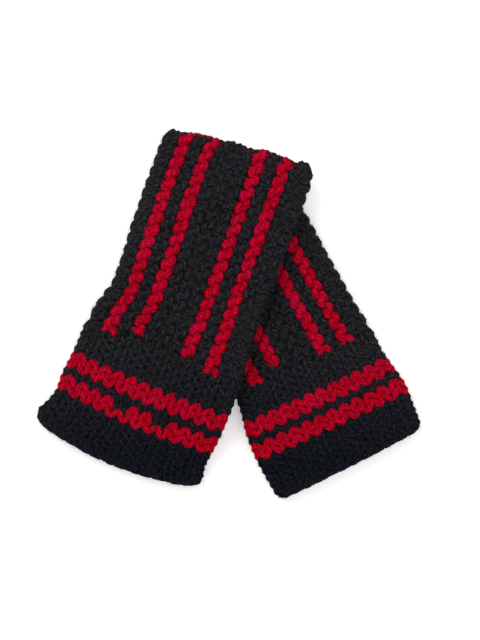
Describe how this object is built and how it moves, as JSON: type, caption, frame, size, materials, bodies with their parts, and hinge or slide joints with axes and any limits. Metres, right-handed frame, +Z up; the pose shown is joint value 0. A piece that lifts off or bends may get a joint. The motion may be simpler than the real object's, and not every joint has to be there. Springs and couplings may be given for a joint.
{
  "type": "pair of knitted arm warmers",
  "caption": "Pair of fingerless knitted arm warmers lying flat, one crossed over the other: striped garter-stitch tubes with banded stocking-stitch cuffs.",
  "frame": {"origin": "on the table, under the middle of the pair's footprint", "axes": "+Z up from the table; +X across the pair, towards the lower warmer's cuff; +Y away from the cuffs"},
  "size_m": [0.212, 0.207, 0.0259],
  "materials": {
    "garter_knit": "matte black wool with red stripes",
    "cuff_knit": "matte black wool with red bands",
    "red_yarn": "matte red wool"
  },
  "bodies": {
    "root": {"lower_body": "garter_knit", "lower_cuff": "cuff_knit", "upper_body": "garter_knit", "upper_cuff": "cuff_knit"}
  },
  "joints": []
}
